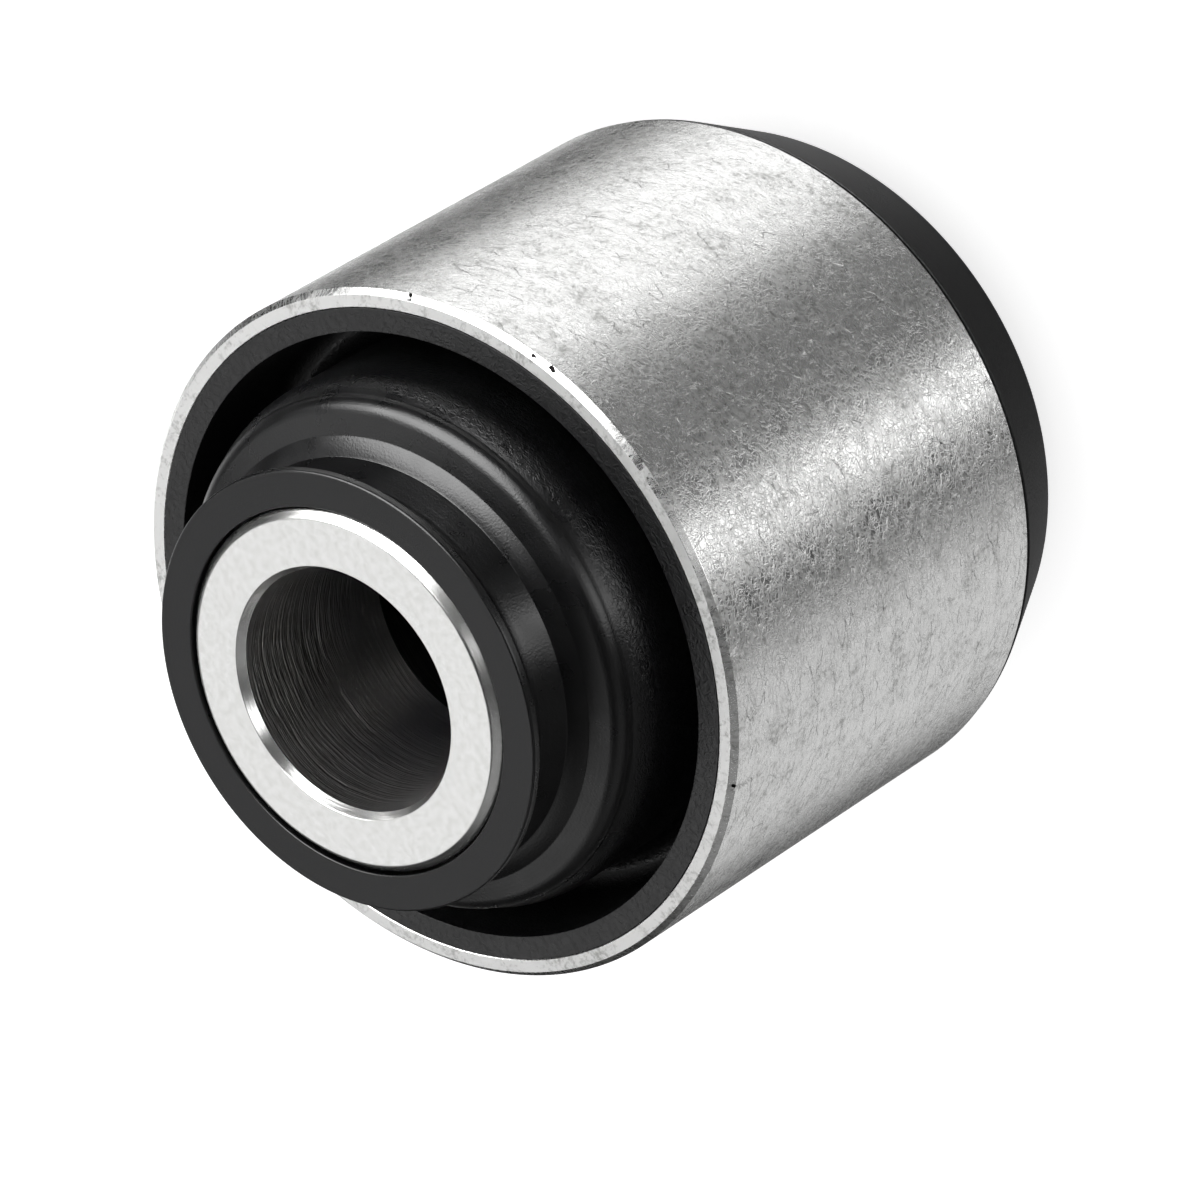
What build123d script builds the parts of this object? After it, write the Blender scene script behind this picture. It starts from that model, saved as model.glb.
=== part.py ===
from build123d import *

import os

# Rubber metal bush: a steel outer sleeve, a steel inner sleeve, and one rubber body moulded and
# bonded between them. Millimetres. +Z is the bush's axis. The bush stands on the rear end of its
# inner sleeve at Z = 0, and its open front end is uppermost.

# Outer sleeve: a plain steel tube that is pressed into an arm's eye
outer_sleeve_diameter = 40.0
outer_sleeve_wall = 1.1
outer_sleeve_length = 27.4
outer_edge_chamfer = 0.32
outer_mouth_chamfer = 0.08

# Inner sleeve: a turned steel tube that a bolt clamps between the cheeks of a bracket
inner_sleeve_diameter = 21.0
inner_sleeve_protrusion = 8.1  # how far each end stands out of the outer sleeve
inner_edge_chamfer = 0.5
bore_diameter = 14.0
bore_chamfer_width = 0.32
bore_chamfer_depth = 0.5
bore_land_length = 11.9  # the bore is to size only on this land at each end
bore_relief_depth = 1.0
bore_relief_run = 0.6  # axial length of the slope from land to relief

# Rubber collar round each end of the inner sleeve
collar_thickness = 1.85
collar_setback = 0.2  # the collar's face lies this far below the steel end
collar_side = 0.45  # straight side of the front collar, before its waist
collar_mouth_chamfer = 0.25
collar_gap = 0.12  # thin gap between collar and steel, open at the end
collar_gap_depth = 0.9

# Front of the core, outwards from the collar: waist, bead, sloping shoulder, rounded rim, wall
waist_depth = 1.15
bead_height = 3.72  # of the bead's sharp inner edge, above the outer sleeve's front end
bead_inset = 0.16  # that edge lies this far inside the collar's side
bead_width = 0.82
bead_crown = 0.16
shoulder_drop = 0.92
rim_thickness = 4.45  # rubber from the inner sleeve out to the rim
rim_fillet = 0.7
rim_side = 0.6  # from the rim's corner down to the crease under it
rim_undercut = 0.1
wall_step = 0.5  # the core's wall stands this far out past the rim
wall_swell = 1.9  # axial length over which it swells out
swell_bulge = 0.15

# Lining inside the outer sleeve, and the ring-shaped recess between it and the core
lining_thickness = 1.34
front_recess_depth = 7.0

# Rear flange: rubber folded out over the sleeve's rear end, tapering to a rounded rim
flange_height = 6.05
flange_base_inset = 0.05  # the flange's base is this much smaller in radius than the sleeve
flange_rim_inset = 2.82  # and its rim's corner this much smaller
flange_rim_fillet = 1.45
rear_lip_width = 1.9  # round the rear recess, from the rim's corner inwards
rear_lip_fillet = 0.4
rear_recess_depth = 6.5

# Places worked out from the sizes above
sleeve_rear = inner_sleeve_protrusion
sleeve_front = sleeve_rear + outer_sleeve_length
front_end = sleeve_front + inner_sleeve_protrusion
front_collar_face = front_end - collar_setback
sleeve_radius = outer_sleeve_diameter / 2
sleeve_inner_radius = sleeve_radius - outer_sleeve_wall
core_radius = inner_sleeve_diameter / 2
bore_radius = bore_diameter / 2
relief_radius = bore_radius + bore_relief_depth
collar_radius = core_radius + collar_thickness
gap_radius = core_radius + collar_gap
waist_radius = collar_radius - waist_depth
bead_radius = collar_radius - bead_inset
bead_edge = sleeve_front + bead_height
shoulder_radius = bead_radius + bead_width
rim_radius = core_radius + rim_thickness
rim_corner = bead_edge - shoulder_drop
crease_radius = rim_radius - rim_undercut
crease_height = rim_corner - rim_side
wall_radius = rim_radius + wall_step
wall_top = crease_height - wall_swell
lining_radius = sleeve_inner_radius - lining_thickness
flange_end = sleeve_rear - flange_height
flange_base_radius = sleeve_radius - flange_base_inset
flange_rim_radius = sleeve_radius - flange_rim_inset
rear_recess_radius = flange_rim_radius - rear_lip_width


def lathe(section):
    """Turn a section, drawn as (radius, height), about the bush's axis."""
    return revolve(Plane.XZ * section, Axis.Z)


def path(*points):
    """Straight edges from point to point."""
    return [Line(a, b) for a, b in zip(points, points[1:])]


def inner_sleeve():
    """Turned tube whose bore opens into a wider relief between two lands."""
    low_land = bore_land_length
    high_land = front_end - bore_land_length
    mouth_radius = bore_radius + bore_chamfer_width
    face_radius = core_radius - inner_edge_chamfer
    section = Polyline(
        (mouth_radius, 0),
        (face_radius, 0),
        (core_radius, inner_edge_chamfer),
        (core_radius, front_end - inner_edge_chamfer),
        (face_radius, front_end),
        (mouth_radius, front_end),
        (bore_radius, front_end - bore_chamfer_depth),
        (bore_radius, high_land),
        (relief_radius, high_land - bore_relief_run),
        (relief_radius, low_land + bore_relief_run),
        (bore_radius, low_land),
        (bore_radius, bore_chamfer_depth),
        close=True,
    )
    return lathe(make_face(section))


def outer_sleeve():
    """Tube with its outer edges chamfered as a lead for pressing in."""
    mouth_radius = sleeve_inner_radius + outer_mouth_chamfer
    face_radius = sleeve_radius - outer_edge_chamfer
    section = Polyline(
        (mouth_radius, sleeve_rear),
        (face_radius, sleeve_rear),
        (sleeve_radius, sleeve_rear + outer_edge_chamfer),
        (sleeve_radius, sleeve_front - outer_edge_chamfer),
        (face_radius, sleeve_front),
        (mouth_radius, sleeve_front),
        (sleeve_inner_radius, sleeve_front - outer_mouth_chamfer),
        (sleeve_inner_radius, sleeve_rear + outer_mouth_chamfer),
        close=True,
    )
    return lathe(make_face(section))


def collar_mouth(face, inward):
    """Edges from the bond up the thin gap to the collar's face; inward points into the rubber."""
    return path(
        (core_radius, face + inward * collar_gap_depth),
        (gap_radius, face + inward * collar_gap_depth),
        (gap_radius, face + inward * collar_mouth_chamfer),
        (gap_radius + collar_mouth_chamfer, face),
        (collar_radius, face),
    )


def round_floor(inner, outer, mouth, depth, inward):
    """Half-round floor of a ring-shaped recess between two radii, with its two spring points."""
    radius = (outer - inner) / 2
    spring = mouth + inward * (depth - radius)
    lowest = (inner + radius, spring + inward * radius)
    return ThreePointArc((inner, spring), lowest, (outer, spring)), spring


def front_core():
    """Collar's side, waist, bead, shoulder, rim and the swelling top of the core's wall."""
    foot = front_collar_face - collar_side
    mid_swell = ((crease_radius + wall_radius) / 2 + swell_bulge, (crease_height + wall_top) / 2)
    return [
        Line((collar_radius, front_collar_face), (collar_radius, foot)),
        ThreePointArc(
            (collar_radius, foot),
            (waist_radius, (foot + bead_edge) / 2),
            (bead_radius, bead_edge),
        ),
        ThreePointArc(
            (bead_radius, bead_edge),
            (bead_radius + bead_width / 2, bead_edge + bead_crown),
            (shoulder_radius, bead_edge),
        ),
        Line((shoulder_radius, bead_edge), (rim_radius, rim_corner)),
        Line((rim_radius, rim_corner), (crease_radius, crease_height)),
        ThreePointArc((crease_radius, crease_height), mid_swell, (wall_radius, wall_top)),
    ]


def rubber_body():
    """One moulding: core, collars, waist, bead, rim, web, lining and rear flange."""
    front_floor, front_spring = round_floor(
        wall_radius, lining_radius, sleeve_front, front_recess_depth, -1
    )
    rear_floor, rear_spring = round_floor(
        collar_radius, rear_recess_radius, flange_end, rear_recess_depth, 1
    )
    edges = collar_mouth(front_collar_face, -1)
    edges += front_core()
    edges += path((wall_radius, wall_top), (wall_radius, front_spring))
    edges += [front_floor]
    edges += path(
        (lining_radius, front_spring),
        (lining_radius, sleeve_front),
        (sleeve_inner_radius, sleeve_front),
        (sleeve_inner_radius, sleeve_rear),
        (flange_base_radius, sleeve_rear),
        (flange_rim_radius, flange_end),
        (rear_recess_radius, flange_end),
        (rear_recess_radius, rear_spring),
    )
    edges += [rear_floor]
    edges += path((collar_radius, rear_spring), (collar_radius, collar_setback))
    edges += collar_mouth(collar_setback, 1)
    edges += path(
        (core_radius, collar_setback + collar_gap_depth),
        (core_radius, front_collar_face - collar_gap_depth),
    )
    section = make_face(Wire(edges))
    rounds = {
        (rim_radius, rim_corner): rim_fillet,
        (flange_rim_radius, flange_end): flange_rim_fillet,
        (rear_recess_radius, flange_end): rear_lip_fillet,
    }
    for corner, radius in rounds.items():
        sharp = section.vertices().sort_by_distance((*corner, 0))[0]
        section = fillet(sharp, radius)
    return lathe(section)


os.makedirs("parts", exist_ok=True)
pieces = {
    "inner_sleeve": inner_sleeve(),
    "outer_sleeve": outer_sleeve(),
    "rubber_body": rubber_body(),
}
for node, solid in pieces.items():
    export_step(solid, f"parts/{node}.step")
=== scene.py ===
import math

import bpy
import numpy as np
from mathutils import Matrix, Vector


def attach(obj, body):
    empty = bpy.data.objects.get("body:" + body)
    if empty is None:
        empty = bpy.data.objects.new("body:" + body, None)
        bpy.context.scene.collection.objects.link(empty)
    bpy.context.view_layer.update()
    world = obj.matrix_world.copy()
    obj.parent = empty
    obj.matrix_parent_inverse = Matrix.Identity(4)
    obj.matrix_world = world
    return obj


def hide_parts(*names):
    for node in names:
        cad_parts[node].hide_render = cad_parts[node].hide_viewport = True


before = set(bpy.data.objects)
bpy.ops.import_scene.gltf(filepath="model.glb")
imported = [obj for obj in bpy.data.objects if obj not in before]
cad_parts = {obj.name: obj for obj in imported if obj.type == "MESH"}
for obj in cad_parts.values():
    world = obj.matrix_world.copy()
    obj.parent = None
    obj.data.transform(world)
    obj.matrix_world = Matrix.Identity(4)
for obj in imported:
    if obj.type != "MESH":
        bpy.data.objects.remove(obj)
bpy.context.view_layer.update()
print("frame loaded:", sorted(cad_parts))

mm = 0.001  # every size below is in millimetres until it reaches a mesh

# settings of the nodes that are used most
add, subtract, multiply = ({"operation": word} for word in ("ADD", "SUBTRACT", "MULTIPLY"))
multiplyAdd, absolute = {"operation": "MULTIPLY_ADD"}, {"operation": "ABSOLUTE"}
maximum, lessThan = {"operation": "MAXIMUM"}, {"operation": "LESS_THAN"}
dotProduct, arctan2 = {"operation": "DOT_PRODUCT"}, {"operation": "ARCTAN2"}
smoothly = {"interpolation_type": "SMOOTHSTEP"}
asColour = {"data_type": "RGBA"}


def hexToLinear(code):
    # sRGB hex to the linear colour that shaders want
    channels = [int(code[i : i + 2], 16) / 255 for i in (1, 3, 5)]
    linear = [c / 12.92 if c <= 0.04045 else ((c + 0.055) / 1.055) ** 2.4 for c in channels]
    return linear + [1]


def addNode(tree, kind, settings=None, inputs=None):
    # a node with its settings; an input is a value, a socket, or a node, read at its first output
    node = tree.nodes.new(kind)
    for name, value in (settings or {}).items():
        setattr(node, name, value)
    for name, value in (inputs or {}).items():
        if isinstance(value, bpy.types.Node):
            value = value.outputs[0]
        if isinstance(value, bpy.types.NodeSocket):
            tree.links.new(value, node.inputs[name])
        else:
            node.inputs[name].default_value = value
    return node


def newMaterial(name):
    material = bpy.data.materials.new(name)
    material.use_nodes = True
    material.node_tree.nodes.clear()
    return material, material.node_tree


turning = {
    "filletSteps": (4, 8),  # faces round a small fillet and round a large one
    "largeFillet": 0.2,
    "filletReach": 0.45,  # the most of a straight run that a fillet takes at one end
    "supportRow": 0.03,  # a row this close to each end keeps a run's shading flat
    "supportFrom": 0.3,  # shorter runs have none
    "shortest": 1e-5,
    "dentPush": (0.75, 0.65),  # how much of a dent's depth goes in, and how much down
}


def arcThrough(start, middle, end, steps):
    # points on the circle through three points, from start to end
    (ax, ay), (bx, by), (cx, cy) = start, middle, end
    a, b, c = ax**2 + ay**2, bx**2 + by**2, cx**2 + cy**2
    d = 2 * (ax * (by - cy) + bx * (cy - ay) + cx * (ay - by))
    ux = (a * (by - cy) + b * (cy - ay) + c * (ay - by)) / d
    uy = (a * (cx - bx) + b * (ax - cx) + c * (bx - ax)) / d
    radius = math.hypot(ax - ux, ay - uy)
    first, via, last = (math.atan2(y - uy, x - ux) for x, y in (start, middle, end))
    turn = (last - first) % (2 * math.pi)
    if (via - first) % (2 * math.pi) > turn:
        turn -= 2 * math.pi
    angles = [first + turn * i / steps for i in range(steps + 1)]
    return [(ux + radius * math.cos(angle), uy + radius * math.sin(angle)) for angle in angles]


def roundCorner(before, corner, after, radius, steps):
    # a fillet in place of a sharp corner
    p, a, b = Vector(corner), Vector(before), Vector(after)
    toA, toB = (a - p).normalized(), (b - p).normalized()
    half = toA.angle(toB) / 2
    most = turning["filletReach"]
    reach = min(radius / math.tan(half), most * (a - p).length, most * (b - p).length)
    radius = reach * math.tan(half)
    centre = p + (toA + toB).normalized() * (radius / math.sin(half))
    start, end = p + toA * reach, p + toB * reach
    middle = centre + (p - centre).normalized() * radius
    return arcThrough(start, middle, end, steps)


def buildProfile(corners, edgeRadius, rowStep):
    # corners are (radius, height[, fillet]), or a ready arc as a list; long runs are cut into rows
    outline = []
    for item in corners:
        if isinstance(item, list):
            outline += [(r, z, 0) for r, z in item]
        else:
            outline.append((*item, edgeRadius) if len(item) == 2 else item)
    points = []
    fewSteps, manySteps = turning["filletSteps"]
    for i, (r, z, fillet) in enumerate(outline):
        before, after = outline[i - 1][:2], outline[(i + 1) % len(outline)][:2]
        if fillet > 0:
            steps = manySteps if fillet > turning["largeFillet"] else fewSteps
            points += roundCorner(before, (r, z), after, fillet, steps)
        else:
            points.append((r, z))
    rows = []
    for i, (r, z) in enumerate(points):
        nextR, nextZ = points[(i + 1) % len(points)]
        length = math.hypot(nextR - r, nextZ - z)
        if length < turning["shortest"]:
            continue
        pieces = max(1, math.ceil(length / rowStep))
        shares = {k / pieces for k in range(pieces)}
        if length > turning["supportFrom"]:
            shares |= {turning["supportRow"] / length, 1 - turning["supportRow"] / length}
        rows += [(r + (nextR - r) * share, z + (nextZ - z) * share) for share in sorted(shares)]
    return rows


def turnMesh(name, profile, segments, dents=()):
    # turns a closed profile about Z; dents are (angle in degrees, height, radius, width, depth)
    rows = np.array(profile, float)
    angles = np.linspace(0, 2 * math.pi, segments, endpoint=False)
    radii = np.repeat(rows[:, 0][None], segments, 0)
    heights = np.repeat(rows[:, 1][None], segments, 0)
    pushIn, pushDown = turning["dentPush"]
    for angle, height, radius, width, depth in dents:
        away = (np.degrees(angles) - angle + 180) % 360 - 180
        across = np.radians(away)[:, None] * radius
        distance = np.sqrt(across**2 + (heights - height) ** 2 + (radii - radius) ** 2) / width
        push = depth * np.clip(1 - distance**2, 0, None) ** 2
        radii -= push * pushIn
        heights -= push * pushDown
    turned = [radii * np.cos(angles)[:, None], radii * np.sin(angles)[:, None], heights]
    points = np.stack(turned, -1)
    count = len(rows)
    ring = np.arange(segments)[:, None] * count
    nextRing = (np.arange(segments)[:, None] + 1) % segments * count
    here, there = np.arange(count)[None], (np.arange(count)[None] + 1) % count
    quads = [ring + here, nextRing + here, nextRing + there, ring + there]
    faces = np.stack(quads, -1).reshape(-1, 4)
    mesh = bpy.data.meshes.new(name)
    mesh.from_pydata((points.reshape(-1, 3) * mm).tolist(), [], faces.tolist())
    mesh.polygons.foreach_set("use_smooth", np.ones(len(faces), bool))
    mesh.update()
    piece = bpy.data.objects.new(name, mesh)
    bpy.context.scene.collection.objects.link(piece)
    nextRows = profile[1:] + profile[:1]
    area = sum((b[0] - a[0]) * (b[1] + a[1]) for a, b in zip(profile, nextRows))
    if area < 0:
        mesh.flip_normals()
    return piece


outerSleeve = {
    "radius": 20.0,
    "wall": 1.1,
    "rear": 8.1,
    "front": 35.5,
    "chamfer": 0.32,
    "mouthChamfer": 0.08,
    "edge": 0.05,  # every arris is broken this much by tumbling
    "rowStep": 4.0,
    "segments": 1080,
    # nicks on the front chamfer: angle, height, radius, width, depth
    "nicks": [
        (-36, 35.34, 19.84, 0.26, 0.16),
        (-60.5, 35.36, 19.84, 0.2, 0.13),
        (-64, 35.3, 19.86, 0.22, 0.14),
        (-139.2, 35.2, 19.95, 0.26, 0.15),
    ],
}


def makeOuterSleeve():
    s = outerSleeve
    inside = s["radius"] - s["wall"]
    face = s["radius"] - s["chamfer"]
    corners = [
        (inside + s["mouthChamfer"], s["rear"]),
        (face, s["rear"]),
        (s["radius"], s["rear"] + s["chamfer"]),
        (s["radius"], s["front"] - s["chamfer"]),
        (face, s["front"]),
        (inside + s["mouthChamfer"], s["front"]),
        (inside, s["front"] - s["mouthChamfer"]),
        (inside, s["rear"] + s["mouthChamfer"]),
    ]
    profile = buildProfile(corners, s["edge"], s["rowStep"])
    return turnMesh("outerSleeve", profile, s["segments"], s["nicks"])


innerSleeve = {
    "radius": 10.5,
    "length": 43.6,
    "chamfer": 0.5,
    "chamferRound": 0.3,  # tumbling rounds the outer chamfer off
    "bore": 7.0,
    "boreChamfer": (0.32, 0.5),
    "land": 11.9,  # how far the bore runs in before its relief
    "relief": (1.0, 0.6),  # how deep, and how long the slope into it is
    "edge": 0.05,
    "rowStep": 8.0,
    "segments": 420,
}


def makeInnerSleeve():
    s = innerSleeve
    mouth = s["bore"] + s["boreChamfer"][0]
    face = s["radius"] - s["chamfer"]
    relief = s["bore"] + s["relief"][0]
    lowLand, highLand = s["land"], s["length"] - s["land"]
    corners = [
        (mouth, 0),
        (face, 0, s["chamferRound"]),
        (s["radius"], s["chamfer"], s["chamferRound"]),
        (s["radius"], s["length"] - s["chamfer"], s["chamferRound"]),
        (face, s["length"], s["chamferRound"]),
        (mouth, s["length"]),
        (s["bore"], s["length"] - s["boreChamfer"][1]),
        (s["bore"], highLand),
        (relief, highLand - s["relief"][1]),
        (relief, lowLand + s["relief"][1]),
        (s["bore"], lowLand),
        (s["bore"], s["boreChamfer"][1]),
    ]
    profile = buildProfile(corners, s["edge"], s["rowStep"])
    return turnMesh("innerSleeve", profile, s["segments"])


rubberBody = {
    "bond": 10.5,  # radius at which it is bonded to the inner sleeve
    "gap": (0.12, 0.9),  # width and depth of the open gap at each collar's mouth
    "gapFillet": 0.03,
    "collar": 12.35,
    "frontCollar": (12.7, 0.15),  # the front collar swells out a little: radius, fillet
    "collarSetback": 0.2,
    "collarSide": 0.5,
    "mouthChamfer": 0.04,
    "waist": (11.05, 41.5, 0.7),  # radius, height, fillet
    "bead": ((12.0, 39.6), (12.52, 39.33), (13.0, 39.0)),  # foot, crown, foot
    "beadFillets": (0.08, 0.25),
    "rim": ((14.1, 38.685), (14.575, 38.406), (14.86, 37.91)),
    "crease": (14.85, 37.7),
    "wall": (15.45, 35.8),
    "swellBulge": 0.15,
    "lining": 17.56,
    "liningFillet": 0.05,
    "bondFillet": 0.02,
    "recessDepth": 7.0,
    "flangeBase": 19.95,
    "flangeRim": (17.18, 2.05),
    "flangeFillet": 1.45,
    "rearLip": 15.28,
    "rearLipFillet": 0.4,
    "rearRecessDepth": 6.5,
    "edge": 0.07,
    "arcSteps": {"bead": 8, "rim": 12, "swell": 16, "recess": 20},
    "rowStep": 8.0,
    "segments": 360,
}


def makeRubberBody():
    s = rubberBody
    front, rear, top = outerSleeve["front"], outerSleeve["rear"], innerSleeve["length"]
    inside = outerSleeve["radius"] - outerSleeve["wall"]
    gapWidth, gapDepth = s["gap"]
    gap = s["bond"] + gapWidth
    face = top - s["collarSetback"]
    frontR, frontFillet = s["frontCollar"]
    creaseR, creaseZ = s["crease"]
    wallR, wallZ = s["wall"]
    swell = ((creaseR + wallR) / 2 + s["swellBulge"], (creaseZ + wallZ) / 2)
    frontRadius = (s["lining"] - wallR) / 2
    frontSpring = front - s["recessDepth"] + frontRadius
    frontFloor = (wallR + frontRadius, frontSpring - frontRadius)
    rearRadius = (s["rearLip"] - s["collar"]) / 2
    rearSpring = s["flangeRim"][1] + s["rearRecessDepth"] - rearRadius
    rearFloor = (s["rearLip"] - rearRadius, rearSpring + rearRadius)
    beadStart, beadEnd = s["beadFillets"]
    steps = s["arcSteps"]
    corners = [
        (s["bond"], face - gapDepth, 0),
        (gap, face - gapDepth, s["gapFillet"]),
        (gap, face - s["mouthChamfer"]),
        (gap + s["mouthChamfer"], face),
        (frontR, face, frontFillet),
        (frontR, face - s["collarSide"]),
        s["waist"],
        (*s["bead"][0], beadStart),
        arcThrough(*s["bead"], steps["bead"])[1:-1],
        (*s["bead"][2], beadEnd),
        arcThrough(*s["rim"], steps["rim"]),
        arcThrough(s["crease"], swell, s["wall"], steps["swell"]),
        arcThrough((wallR, frontSpring), frontFloor, (s["lining"], frontSpring), steps["recess"]),
        (s["lining"], front, s["liningFillet"]),
        (inside, front, s["bondFillet"]),
        (inside, rear, s["bondFillet"]),
        (s["flangeBase"], rear),
        (*s["flangeRim"], s["flangeFillet"]),
        (s["rearLip"], s["flangeRim"][1], s["rearLipFillet"]),
        arcThrough(
            (s["rearLip"], rearSpring), rearFloor, (s["collar"], rearSpring), steps["recess"]
        ),
        (s["collar"], s["collarSetback"]),
        (gap + s["mouthChamfer"], s["collarSetback"]),
        (gap, s["collarSetback"] + s["mouthChamfer"]),
        (gap, s["collarSetback"] + gapDepth, s["gapFillet"]),
        (s["bond"], s["collarSetback"] + gapDepth, 0),
    ]
    profile = buildProfile(corners, s["edge"], s["rowStep"])
    return turnMesh("rubberBody", profile, s["segments"])


def readPlace(tree):
    # a point's place, its X, Y and Z, its distance from the axis, and how level its face lies
    place = addNode(tree, "ShaderNodeTexCoord").outputs["Object"]
    split = addNode(tree, "ShaderNodeSeparateXYZ", None, {0: place})
    flat = addNode(tree, "ShaderNodeVectorMath", multiply, {0: place, 1: (1, 1, 0)})
    radius = addNode(tree, "ShaderNodeVectorMath", {"operation": "LENGTH"}, {0: flat})
    normal = addNode(tree, "ShaderNodeNewGeometry").outputs["Normal"]
    facing = addNode(tree, "ShaderNodeSeparateXYZ", None, {0: normal})
    level = addNode(tree, "ShaderNodeMath", absolute, {0: facing.outputs["Z"]})
    return place, split.outputs, radius.outputs["Value"], level


tumbledSteel = {
    "colour": "#DEDEDD",
    "stain": "#A6A6A4",
    "stainSize": 2.6,  # mm
    "stainFrom": (0.26, 0.4),  # noise at which the skin is clean, and most stained
    "stainMost": 0.9,
    "speckle": 3.0,  # per mm: specks that break the stains up
    # the pits' colour, also used as the painted shade in the nicks
    "pitsAndNickShade": "#0D0C0C",
    "pitSpacing": 2.6,  # mm
    "pitFrom": 0.6,  # the share of places that have none
    "pitSize": 0.03,  # of the spacing, at most
    "nickShadeReach": 0.8,  # how far across a dent the painted shade reaches
    "roughness": (0.18, 0.28),
    "roughFrom": (0.35, 0.65),
    "worn": 0.1,  # how much rougher the hairlines are
    "cut": 0.22,  # how much rougher the sawn ends are
    "cutFrom": (0.9, 0.97),  # how level a face is before it counts as a sawn end
    "grain": 0.17,  # mm, drawn coarser than the real 0.03 mm so that it shows
    # hairlines left by parts rubbing in the drum: tilt in degrees from round the tube,
    # length and spacing in mm, strength; they are drawn wider than the real ones
    "hairs": [
        (4, 2.2, 0.32, 1.0),
        (38, 1.6, 0.3, 0.8),
        (-33, 1.5, 0.3, 0.8),
        (84, 1.3, 0.32, 0.7),
    ],
    "hairWidth": 0.04,
    "scratch": 4.0,  # mm between the long scratches
    "scratchWidth": 0.02,
    "scratchPull": 3.0,  # they lie more round the tube than along it
    "scratchPatch": (0.7, 0.5, 0.6),  # per mm, and the noise at which they start and are full
    "wander": (0.9, 0.9),  # how often per mm, and how far in mm, a mark leaves its line
    # how high each mark stands against the others
    "shares": {"grain": 0.3, "hair": 0.27, "scratch": 0.7, "cloud": 1.5},
    "relief": 0.028,  # mm, as deep as the widened marks need
    "endRelief": 0.06,  # the share of it on the ends and chamfers, which were cut last
    "endFrom": (0.3, 0.5),
    "bump": 0.8,
}


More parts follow.
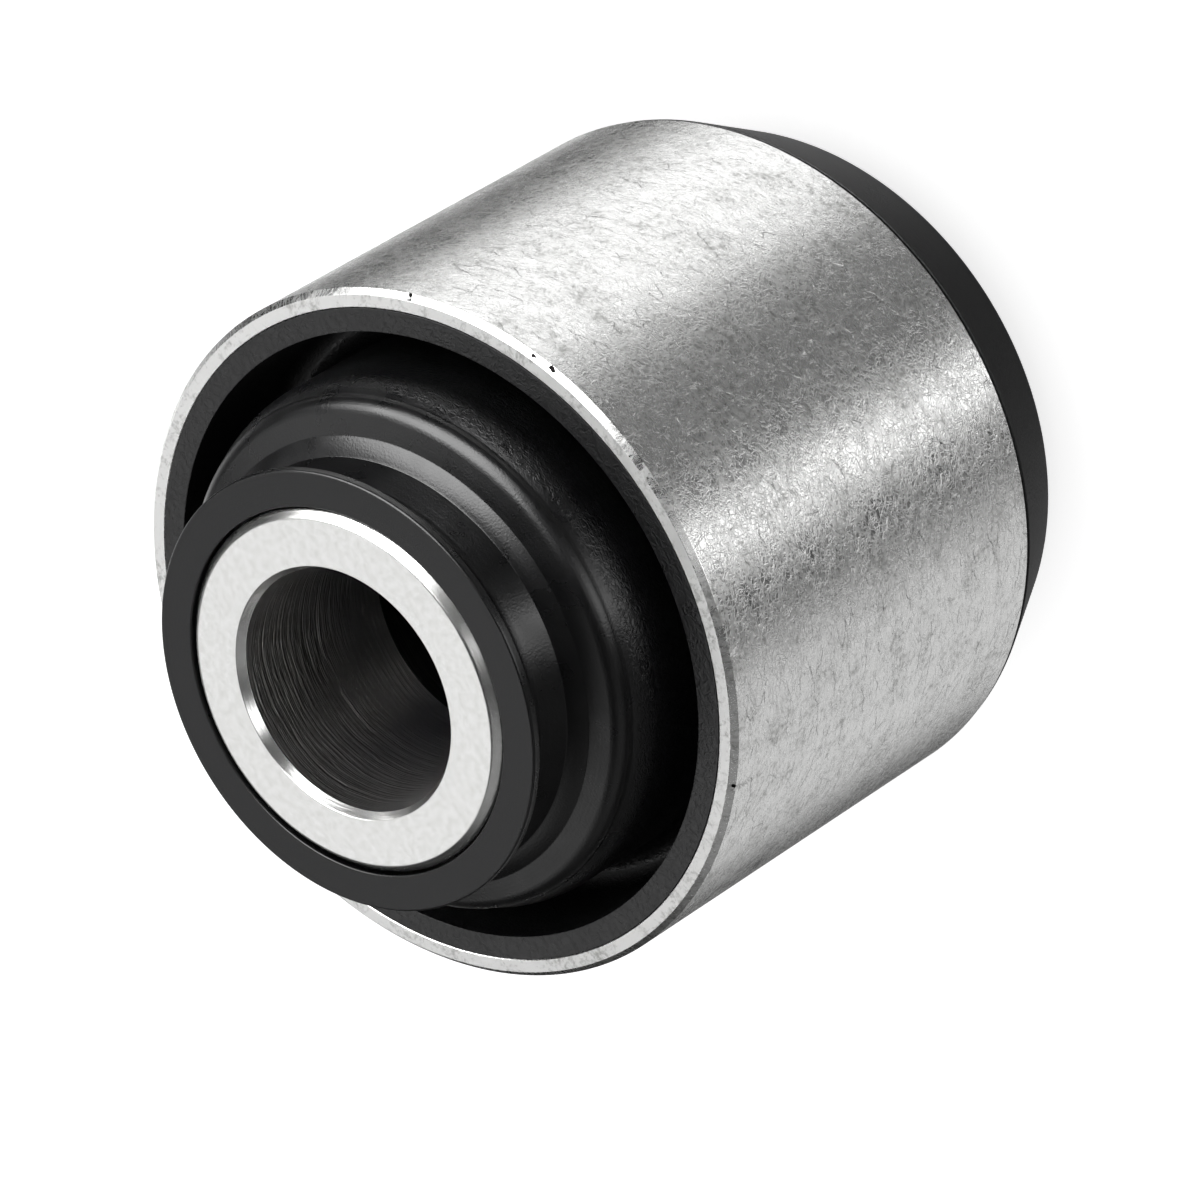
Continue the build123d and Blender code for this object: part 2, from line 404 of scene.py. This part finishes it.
def makeTumbledSteel():
    # drawn tube, tumbled after cutting: a bright satin skin under a web of short crossing hairlines
    s = tumbledSteel
    material, tree = newMaterial("tumbledSteel")
    place, xyz, radius, level = readPlace(tree)
    # the tube's skin laid flat: millimetres round it, and along it or across its end
    back = addNode(tree, "ShaderNodeMath", multiply, {0: xyz["Y"], 1: -1.0})
    turn = addNode(tree, "ShaderNodeMath", arctan2, {0: xyz["X"], 1: back})
    around = addNode(tree, "ShaderNodeMath", multiply, {0: turn, 1: outerSleeve["radius"]})
    reach = addNode(tree, "ShaderNodeMath", add, {0: xyz["Z"], 1: radius})
    along = addNode(tree, "ShaderNodeMath", {"operation": "DIVIDE"}, {0: reach, 1: mm})
    skinPlace = addNode(tree, "ShaderNodeCombineXYZ", None, {0: around, 1: along})
    # marks wander: the place they are read at is pushed about by a slow noise
    often, far = s["wander"]
    drift = addNode(
        tree, "ShaderNodeTexNoise", None, {"Vector": place, "Scale": often / mm, "Detail": 2}
    )
    centred = addNode(
        tree, "ShaderNodeVectorMath", subtract, {0: drift.outputs["Color"], 1: (0.5,) * 3}
    )
    wander = addNode(
        tree, "ShaderNodeVectorMath", multiplyAdd, {0: centred, 1: (far * mm,) * 3, 2: place}
    )
    bent = addNode(
        tree, "ShaderNodeVectorMath", multiplyAdd, {0: centred, 1: (far,) * 3, 2: skinPlace}
    )
    grain = addNode(
        tree,
        "ShaderNodeTexNoise",
        None,
        {"Vector": wander, "Scale": 1 / (s["grain"] * mm), "Detail": 2, "Roughness": 0.6},
    )
    hair = 0.0
    for tilt, length, spacing, strength in s["hairs"]:
        c, k = math.cos(math.radians(tilt)), math.sin(math.radians(tilt))
        lengthways = addNode(
            tree, "ShaderNodeVectorMath", dotProduct, {0: bent, 1: (c / length, k / length, 0)}
        )
        sideways = addNode(
            tree, "ShaderNodeVectorMath", dotProduct, {0: bent, 1: (-k / spacing, c / spacing, 0)}
        )
        run = addNode(
            tree,
            "ShaderNodeCombineXYZ",
            None,
            {0: lengthways.outputs["Value"], 1: sideways.outputs["Value"], 2: tilt},
        )
        waves = addNode(
            tree,
            "ShaderNodeTexNoise",
            None,
            {"Vector": run, "Scale": 1.0, "Detail": 1, "Roughness": 0.6},
        )
        centre = addNode(tree, "ShaderNodeMath", subtract, {0: waves, 1: 0.5})
        away = addNode(tree, "ShaderNodeMath", absolute, {0: centre})
        line = addNode(
            tree,
            "ShaderNodeMapRange",
            smoothly,
            {
                "Value": away,
                "From Min": 0.0,
                "From Max": s["hairWidth"],
                "To Min": strength,
                "To Max": 0.0,
            },
        )
        hair = addNode(tree, "ShaderNodeMath", maximum, {0: hair, 1: line})
    # long single scratches, broken off in patches
    pull = (1, 1, s["scratchPull"])
    pulled = addNode(tree, "ShaderNodeVectorMath", multiply, {0: wander, 1: pull})
    web = addNode(
        tree,
        "ShaderNodeTexVoronoi",
        {"feature": "DISTANCE_TO_EDGE"},
        {"Vector": pulled, "Scale": 1 / (s["scratch"] * mm)},
    )
    line = addNode(
        tree,
        "ShaderNodeMapRange",
        smoothly,
        {
            "Value": web.outputs["Distance"],
            "From Min": 0.0,
            "From Max": s["scratchWidth"],
            "To Min": 1.0,
            "To Max": 0.0,
        },
    )
    patches, patchFrom, patchTo = s["scratchPatch"]
    patch = addNode(
        tree, "ShaderNodeTexNoise", None, {"Vector": place, "Scale": patches / mm, "Detail": 1}
    )
    broken = addNode(
        tree,
        "ShaderNodeMapRange",
        None,
        {"Value": patch, "From Min": patchFrom, "From Max": patchTo},
    )
    scratch = addNode(tree, "ShaderNodeMath", multiply, {0: line, 1: broken})
    cloud = addNode(
        tree,
        "ShaderNodeTexNoise",
        None,
        {"Vector": place, "Scale": 1 / (s["stainSize"] * mm), "Detail": 5, "Roughness": 0.7},
    )
    shares = s["shares"]
    height = addNode(tree, "ShaderNodeMath", multiply, {0: grain, 1: shares["grain"]})
    for mark, name in ((hair, "hair"), (scratch, "scratch"), (cloud, "cloud")):
        height = addNode(
            tree, "ShaderNodeMath", multiplyAdd, {0: mark, 1: shares[name], 2: height}
        )
    relief = addNode(
        tree,
        "ShaderNodeMapRange",
        None,
        {
            "Value": level,
            "From Min": s["endFrom"][0],
            "From Max": s["endFrom"][1],
            "To Min": s["relief"] * mm,
            "To Max": s["relief"] * mm * s["endRelief"],
        },
    )
    depth = addNode(tree, "ShaderNodeMath", multiply, {0: height, 1: relief})
    bump = addNode(
        tree, "ShaderNodeBump", None, {"Strength": s["bump"], "Distance": 1.0, "Height": depth}
    )
    skinRough = addNode(
        tree,
        "ShaderNodeMapRange",
        None,
        {
            "Value": cloud,
            "From Min": s["roughFrom"][0],
            "From Max": s["roughFrom"][1],
            "To Min": s["roughness"][0],
            "To Max": s["roughness"][1],
        },
    )
    wear = addNode(tree, "ShaderNodeMath", maximum, {0: hair, 1: scratch})
    worn = addNode(tree, "ShaderNodeMath", multiplyAdd, {0: wear, 1: s["worn"], 2: skinRough})
    sawn = addNode(
        tree,
        "ShaderNodeMapRange",
        None,
        {"Value": level, "From Min": s["cutFrom"][0], "From Max": s["cutFrom"][1]},
    )
    rough = addNode(tree, "ShaderNodeMath", multiplyAdd, {0: sawn, 1: s["cut"], 2: worn})
    specks = addNode(
        tree,
        "ShaderNodeTexNoise",
        None,
        {"Vector": wander, "Scale": s["speckle"] / mm, "Detail": 3, "Roughness": 0.7},
    )
    dark = addNode(tree, "ShaderNodeMath", multiply, {0: cloud, 1: specks})
    stained = addNode(
        tree,
        "ShaderNodeMapRange",
        None,
        {
            "Value": dark,
            "From Min": s["stainFrom"][0],
            "From Max": s["stainFrom"][1],
            "To Max": s["stainMost"],
        },
    )
    skinColour = addNode(
        tree,
        "ShaderNodeMix",
        asColour,
        {0: stained, 6: hexToLinear(s["colour"]), 7: hexToLinear(s["stain"])},
    )
    dots = addNode(
        tree,
        "ShaderNodeTexVoronoi",
        None,
        {"Vector": wander, "Scale": 1 / (s["pitSpacing"] * mm)},
    )
    chance = addNode(tree, "ShaderNodeSeparateXYZ", None, {0: dots.outputs["Color"]})
    size = addNode(
        tree,
        "ShaderNodeMapRange",
        None,
        {
            "Value": chance.outputs["X"],
            "From Min": s["pitFrom"],
            "From Max": 1.0,
            "To Min": 0.0,
            "To Max": s["pitSize"],
        },
    )
    pitsAndNickShade = addNode(tree, "ShaderNodeMath", lessThan, {0: dots.outputs["Distance"], 1: size})
    # the nicks are painted dark with the pit colour: painted shade in the dents
    for angle, nickHeight, nickRadius, width, _ in outerSleeve["nicks"]:
        spot = (
            nickRadius * mm * math.cos(math.radians(angle)),
            nickRadius * mm * math.sin(math.radians(angle)),
            nickHeight * mm,
        )
        away = addNode(
            tree, "ShaderNodeVectorMath", {"operation": "DISTANCE"}, {0: wander, 1: spot}
        )
        shadeReach = width * mm * s["nickShadeReach"]
        nickShade = addNode(tree, "ShaderNodeMath", lessThan, {0: away.outputs["Value"], 1: shadeReach})
        pitsAndNickShade = addNode(tree, "ShaderNodeMath", maximum, {0: pitsAndNickShade, 1: nickShade})
    colour = addNode(
        tree,
        "ShaderNodeMix",
        asColour,
        {0: pitsAndNickShade, 6: skinColour.outputs[2], 7: hexToLinear(s["pitsAndNickShade"])},
    )
    skin = addNode(
        tree,
        "ShaderNodeBsdfPrincipled",
        None,
        {"Base Color": colour.outputs[2], "Metallic": 1.0, "Roughness": rough, "Normal": bump},
    )
    addNode(tree, "ShaderNodeOutputMaterial", None, {"Surface": skin})
    return material


turnedSteel = {
    "colour": "#DEDEDD",
    "dulled": "#D5D5D3",
    "dullSize": 2.2,  # patches per mm
    "dullFrom": (0.4, 0.65),
    # painted shade: the bore's colour is darker than the ends' to stand for the shade down the tube
    "inside": "#C4C3C2",
    "reliefShade": "#302F2E",  # painted shade: past the bore's land the relief is painted near black, as if unlit
    "landFrom": 31.7,  # mm
    "boreFrom": (0.4, 0.2),  # how level a face is before it counts as an end, and as the bore
    "roughness": (0.24, 0.3),  # on the ends, in the bore
    "ring": 0.14,  # mm between the ends' turning rings, drawn coarser than the real 0.08 mm
    "feed": 0.2,  # mm between the bore's feed marks
    "wander": (0.25, 0.5),  # how often per mm, and how far in mm, a ring leaves its line
    "relief": (0.008, 0.07),  # mm, on the ends and in the bore
}


def makeTurnedSteel():
    # steel turned on a lathe: fine rings on the ends, coarser feed marks down the bore; the bore
    # carries painted shade, darker than the ends and near black past its land
    s = turnedSteel
    material, tree = newMaterial("turnedSteel")
    place, xyz, radius, level = readPlace(tree)
    inBore = addNode(
        tree,
        "ShaderNodeMapRange",
        None,
        {"Value": level, "From Min": s["boreFrom"][0], "From Max": s["boreFrom"][1]},
    )
    often, far = s["wander"]
    drift = addNode(
        tree, "ShaderNodeTexNoise", None, {"Vector": place, "Scale": often / mm, "Detail": 2}
    )
    section = addNode(tree, "ShaderNodeCombineXYZ", None, {0: radius, 2: xyz["Z"]})
    wander = addNode(
        tree,
        "ShaderNodeVectorMath",
        multiplyAdd,
        {0: drift.outputs["Color"], 1: (far * mm,) * 3, 2: section},
    )
    rings = addNode(
        tree,
        "ShaderNodeTexNoise",
        None,
        {"Vector": wander, "Scale": 1 / (s["ring"] * mm), "Detail": 2},
    )
    feed = addNode(
        tree,
        "ShaderNodeTexNoise",
        None,
        {"Vector": wander, "Scale": 1 / (s["feed"] * mm), "Detail": 2, "Roughness": 0.7},
    )
    fineDepth, deepDepth = (depth * mm for depth in s["relief"])
    fine = addNode(tree, "ShaderNodeMath", multiply, {0: rings.outputs["Fac"], 1: fineDepth})
    deep = addNode(tree, "ShaderNodeMath", multiply, {0: feed.outputs["Fac"], 1: deepDepth})
    height = addNode(tree, "ShaderNodeMix", None, {0: inBore, 2: fine, 3: deep})
    bump = addNode(
        tree, "ShaderNodeBump", None, {"Strength": 1.0, "Distance": 1.0, "Height": height}
    )
    rough = addNode(
        tree, "ShaderNodeMix", None, {0: inBore, 2: s["roughness"][0], 3: s["roughness"][1]}
    )
    cloud = addNode(
        tree,
        "ShaderNodeTexNoise",
        None,
        {"Vector": place, "Scale": s["dullSize"] / mm, "Detail": 5, "Roughness": 0.7},
    )
    tone = addNode(
        tree,
        "ShaderNodeMapRange",
        None,
        {"Value": cloud, "From Min": s["dullFrom"][0], "From Max": s["dullFrom"][1]},
    )
    ends = addNode(
        tree,
        "ShaderNodeMix",
        asColour,
        {0: tone, 6: hexToLinear(s["colour"]), 7: hexToLinear(s["dulled"])},
    )
    # painted shade: the bore is painted darker than the ends, and near black past its land
    shadedPastLand = addNode(tree, "ShaderNodeMath", lessThan, {0: xyz["Z"], 1: s["landFrom"] * mm})
    bore = addNode(
        tree,
        "ShaderNodeMix",
        asColour,
        {0: shadedPastLand, 6: hexToLinear(s["inside"]), 7: hexToLinear(s["reliefShade"])},
    )
    colour = addNode(
        tree, "ShaderNodeMix", asColour, {0: inBore, 6: ends.outputs[2], 7: bore.outputs[2]}
    )
    skin = addNode(
        tree,
        "ShaderNodeBsdfPrincipled",
        None,
        {"Base Color": colour.outputs[2], "Metallic": 1.0, "Roughness": rough, "Normal": bump},
    )
    addNode(tree, "ShaderNodeOutputMaterial", None, {"Surface": skin})
    return material


mouldedRubber = {
    "colour": "#080809",
    "ior": 1.5,
    "matte": 0.66,
    "matteWithin": 15.0,  # mm from the axis: the core's flats are rubbed matte, the lining isn't
    "matteFrom": (0.96, 0.995),  # how level a face is before it counts as a flat
    "slot": 0.5,  # roughness in the open slot, where the mould skin is duller
    "slotFrom": (15.4, 15.6),  # mm from the axis
    "sheen": (0.25, 0.34),
    "sheenSize": 0.5,  # patches per mm
    "sheenFrom": (0.3, 0.7),
    "speck": 0.13,  # mm
    "mouldRing": 0.2,  # mm between the turned mould's rings, drawn coarser than the real 0.1 mm
    "flow": 0.38,  # mm across the wrinkles where the rubber tore from the mould's deep slot
    "flowPull": 1.8,  # they lie more round the core than along it
    "flowBelow": 37.6,  # mm: they are on the core's wall only
    "flowFade": 0.5,  # mm
    "shares": {"ring": 0.5, "flow": 1.2},  # how high each stands against the specks
    "relief": 0.02,  # mm
    "bump": 0.5,
}


def makeMouldedRubber():
    # natural rubber with carbon black, from a turned steel mould: matte flats, low sheen on rounds
    s = mouldedRubber
    material, tree = newMaterial("mouldedRubber")
    place, xyz, radius, level = readPlace(tree)
    onFlat = addNode(
        tree,
        "ShaderNodeMapRange",
        smoothly,
        {"Value": level, "From Min": s["matteFrom"][0], "From Max": s["matteFrom"][1]},
    )
    onCore = addNode(tree, "ShaderNodeMath", lessThan, {0: radius, 1: s["matteWithin"] * mm})
    rubbed = addNode(tree, "ShaderNodeMath", multiply, {0: onFlat, 1: onCore})
    outward = addNode(
        tree,
        "ShaderNodeMapRange",
        None,
        {"Value": radius, "From Min": s["slotFrom"][0] * mm, "From Max": s["slotFrom"][1] * mm},
    )
    inSlot = addNode(tree, "ShaderNodeMath", subtract, {0: outward, 1: onFlat})
    cloud = addNode(
        tree,
        "ShaderNodeTexNoise",
        None,
        {"Vector": place, "Scale": s["sheenSize"] / mm, "Detail": 4},
    )
    sheen = addNode(
        tree,
        "ShaderNodeMapRange",
        None,
        {
            "Value": cloud,
            "From Min": s["sheenFrom"][0],
            "From Max": s["sheenFrom"][1],
            "To Min": s["sheen"][0],
            "To Max": s["sheen"][1],
        },
    )
    dulled = addNode(tree, "ShaderNodeMix", None, {0: inSlot, 2: sheen, 3: s["slot"]})
    rough = addNode(tree, "ShaderNodeMix", None, {0: rubbed, 2: dulled, 3: s["matte"]})
    speck = addNode(
        tree,
        "ShaderNodeTexNoise",
        None,
        {"Vector": place, "Scale": 1 / (s["speck"] * mm), "Detail": 2},
    )
    section = addNode(tree, "ShaderNodeCombineXYZ", None, {0: radius, 2: xyz["Z"]})
    rings = addNode(
        tree,
        "ShaderNodeTexNoise",
        None,
        {"Vector": section, "Scale": 1 / (s["mouldRing"] * mm), "Detail": 1},
    )
    pull = (1, 1, s["flowPull"])
    pulled = addNode(tree, "ShaderNodeVectorMath", multiply, {0: place, 1: pull})
    flow = addNode(
        tree,
        "ShaderNodeTexNoise",
        {"noise_type": "RIDGED_MULTIFRACTAL", "normalize": False},
        {
            "Vector": pulled,
            "Scale": 1 / (s["flow"] * mm),
            "Detail": 3,
            "Roughness": 0.6,
            "Lacunarity": 2.2,
            "Offset": 0.9,
            "Gain": 1.8,
            "Distortion": 0.6,
        },
    )
    onWall = addNode(
        tree,
        "ShaderNodeMapRange",
        smoothly,
        {
            "Value": xyz["Z"],
            "From Min": s["flowBelow"] * mm,
            "From Max": (s["flowBelow"] - s["flowFade"]) * mm,
        },
    )
    wrinkled = addNode(tree, "ShaderNodeMath", multiply, {0: flow, 1: onWall})
    shares = s["shares"]
    fine = addNode(
        tree,
        "ShaderNodeMath",
        multiplyAdd,
        {0: rings.outputs["Fac"], 1: shares["ring"], 2: speck.outputs["Fac"]},
    )
    height = addNode(
        tree, "ShaderNodeMath", multiplyAdd, {0: wrinkled, 1: shares["flow"], 2: fine}
    )
    bump = addNode(
        tree,
        "ShaderNodeBump",
        None,
        {"Strength": s["bump"], "Distance": s["relief"] * mm, "Height": height},
    )
    skin = addNode(
        tree,
        "ShaderNodeBsdfPrincipled",
        None,
        {
            "Base Color": hexToLinear(s["colour"]),
            "Roughness": rough,
            "IOR": s["ior"],
            "Normal": bump,
        },
    )
    addNode(tree, "ShaderNodeOutputMaterial", None, {"Surface": skin})
    return material


# each piece stands for the solid of the same form, and rides on the one body
for make, material, node, slotName in (
    (makeOuterSleeve, makeTumbledSteel, "outer_sleeve", "tumbled_steel"),
    (makeInnerSleeve, makeTurnedSteel, "inner_sleeve", "turned_steel"),
    (makeRubberBody, makeMouldedRubber, "rubber_body", "moulded_rubber"),
):
    piece = make()
    piece.data.materials.append(material())
    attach(piece, "root")
    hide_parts(node)
    print("made", piece.name, len(piece.data.polygons), "faces")


studio = {
    "floorColour": "#F4F4F4",
    "floorRadius": 1500,
    "seatRadius": 16.0,
    "floorSides": 96,
    "floorDrop": 0.02,  # keeps the floor clear of the bush's end
    "floorLift": 0.7,
    "dayLevel": 0.85,  # even light on everything matte
    "mirrorBase": 0.05,
    "darkBelow": (-76, -56),  # degrees: nothing bright is mirrored from straight under the bush
    "darkLevel": 0.05,
    # curved light panels that the steel and rubber mirror, in degrees: bearing, elevation,
    # half width, half height, strength, edge softness as a share of the half sizes
    "panels": [
        (84, -53, 33, 27, 1.85, 0.25),
        (26, -36, 26, 30, 0.22, 0.6),
        (-20, -26, 9, 56, 2.3, 0.3),
        (-98, -53, 41, 27, 0.95, 0.3),
        (172, -34, 17, 34, 1.35, 0.3),
        (158, -12, 17, 14, 0.7, 0.4),
        (73, 43, 37, 24, 11.5, 0.16),
        (-17, 12, 8, 14, 2.5, 0.5),
        (-16, 40, 7, 10, 1.2, 0.4),
        (-84, 24, 32, 18, 0.35, 0.5),
        (180, 50, 50, 22, 1.35, 0.4),
    ],
}


def bearingVector(bearing, elevation):
    # bearing 0 points at -Y, 90 at +X
    b, e = math.radians(bearing), math.radians(elevation)
    return Vector((math.sin(b) * math.cos(e), -math.cos(b) * math.cos(e), math.sin(e)))


def makeStudioWorld():
    world = bpy.data.worlds.new("studio")
    bpy.context.scene.world = world
    world.use_nodes = True
    world.cycles.sampling_method = "NONE"
    tree = world.node_tree
    tree.nodes.clear()
    ray = addNode(tree, "ShaderNodeTexCoord").outputs["Generated"]
    height = addNode(tree, "ShaderNodeSeparateXYZ", None, {0: ray}).outputs["Z"]
    elevation = addNode(tree, "ShaderNodeMath", {"operation": "ARCSINE"}, {0: height})
    total = studio["mirrorBase"]
    for bearing, rise, halfWidth, halfHeight, strength, soft in studio["panels"]:
        forward, side = bearingVector(bearing, 0), bearingVector(bearing + 90, 0)
        ahead = addNode(tree, "ShaderNodeVectorMath", dotProduct, {0: ray, 1: forward})
        across = addNode(tree, "ShaderNodeVectorMath", dotProduct, {0: ray, 1: side})
        turn = addNode(
            tree,
            "ShaderNodeMath",
            arctan2,
            {0: across.outputs["Value"], 1: ahead.outputs["Value"]},
        )
        lift = addNode(tree, "ShaderNodeMath", subtract, {0: elevation, 1: math.radians(rise)})
        panel = strength
        for angle, halfSize in ((turn, halfWidth), (lift, halfHeight)):
            half = math.radians(halfSize)
            away = addNode(tree, "ShaderNodeMath", absolute, {0: angle})
            edge = addNode(
                tree,
                "ShaderNodeMapRange",
                smoothly,
                {
                    "Value": away,
                    "From Min": half * (1 - soft),
                    "From Max": half * (1 + soft),
                    "To Min": 1.0,
                    "To Max": 0.0,
                },
            )
            panel = addNode(tree, "ShaderNodeMath", multiply, {0: panel, 1: edge})
        total = addNode(tree, "ShaderNodeMath", add, {0: total, 1: panel})
    low, high = (math.radians(angle) for angle in studio["darkBelow"])
    under = addNode(
        tree,
        "ShaderNodeMapRange",
        smoothly,
        {"Value": elevation, "From Min": low, "From Max": high, "To Min": studio["darkLevel"]},
    )
    mirrored = addNode(tree, "ShaderNodeMath", multiply, {0: total, 1: under})
    # matte surfaces get even light, mirrors get the panels, and the camera sees plain white
    path = addNode(tree, "ShaderNodeLightPath").outputs
    matte = addNode(
        tree,
        "ShaderNodeMix",
        None,
        {0: path["Is Diffuse Ray"], 2: mirrored, 3: studio["dayLevel"]},
    )
    shown = addNode(tree, "ShaderNodeMix", None, {0: path["Is Camera Ray"], 2: matte, 3: 1.0})
    light = addNode(tree, "ShaderNodeBackground", None, {"Strength": shown})
    addNode(tree, "ShaderNodeOutputWorld", None, {"Surface": light})


def makeFloor():
    # white paper, lifted a little for the camera so that it runs into the white background
    material, tree = newMaterial("paleFloor")
    seen = addNode(tree, "ShaderNodeLightPath").outputs["Is Camera Ray"]
    lift = addNode(tree, "ShaderNodeMath", multiply, {0: seen, 1: studio["floorLift"]})
    paper = addNode(
        tree, "ShaderNodeBsdfDiffuse", None, {"Color": hexToLinear(studio["floorColour"])}
    )
    glow = addNode(tree, "ShaderNodeEmission", None, {"Strength": lift})
    both = addNode(tree, "ShaderNodeAddShader", None, {0: paper, 1: glow})
    addNode(tree, "ShaderNodeOutputMaterial", None, {"Surface": both})
    count = studio["floorSides"]
    angles = [2 * math.pi * i / count for i in range(count)]
    # the disc under the bush is seen by every ray; the wide floor isn't mirrored by the steel
    for name, inner, outer, mirrored in (
        ("floorSeat", 0, studio["seatRadius"], True),
        ("floorWide", studio["seatRadius"], studio["floorRadius"], False),
    ):
        points = [
            (radius * mm * math.cos(a), radius * mm * math.sin(a), -studio["floorDrop"] * mm)
            for radius in ((inner, outer) if inner else (outer,))
            for a in angles
        ]
        if inner:
            faces = [
                (i, count + i, count + (i + 1) % count, (i + 1) % count) for i in range(count)
            ]
        else:
            faces = [tuple(range(count))]
        mesh = bpy.data.meshes.new(name)
        mesh.from_pydata(points, [], faces)
        mesh.materials.append(material)
        floor = bpy.data.objects.new(name, mesh)
        bpy.context.scene.collection.objects.link(floor)
        floor.visible_glossy = mirrored


view = {
    "lens": 265.8,
    "distance": 487.19,
    "elevation": 45.05,
    "roll": 121.55,
    "target": (-2.91, 0.77, 22.57),
    "clipEnd": 50,  # metres
}


def makeCamera():
    camera = bpy.data.cameras.new("camera")
    camera.lens = view["lens"]
    camera.clip_end = view["clipEnd"]
    holder = bpy.data.objects.new("camera", camera)
    bpy.context.scene.collection.objects.link(holder)
    outward = bearingVector(0, view["elevation"])
    place = (Vector(view["target"]) + outward * view["distance"]) * mm
    turn = outward.to_track_quat("Z", "Y").to_matrix().to_4x4()
    roll = Matrix.Rotation(math.radians(-view["roll"]), 4, "Z")
    holder.matrix_world = Matrix.Translation(place) @ turn @ roll
    bpy.context.scene.camera = holder


makeStudioWorld()
makeFloor()
makeCamera()
bpy.context.scene.view_settings.view_transform = "Standard"
print("studio ready")
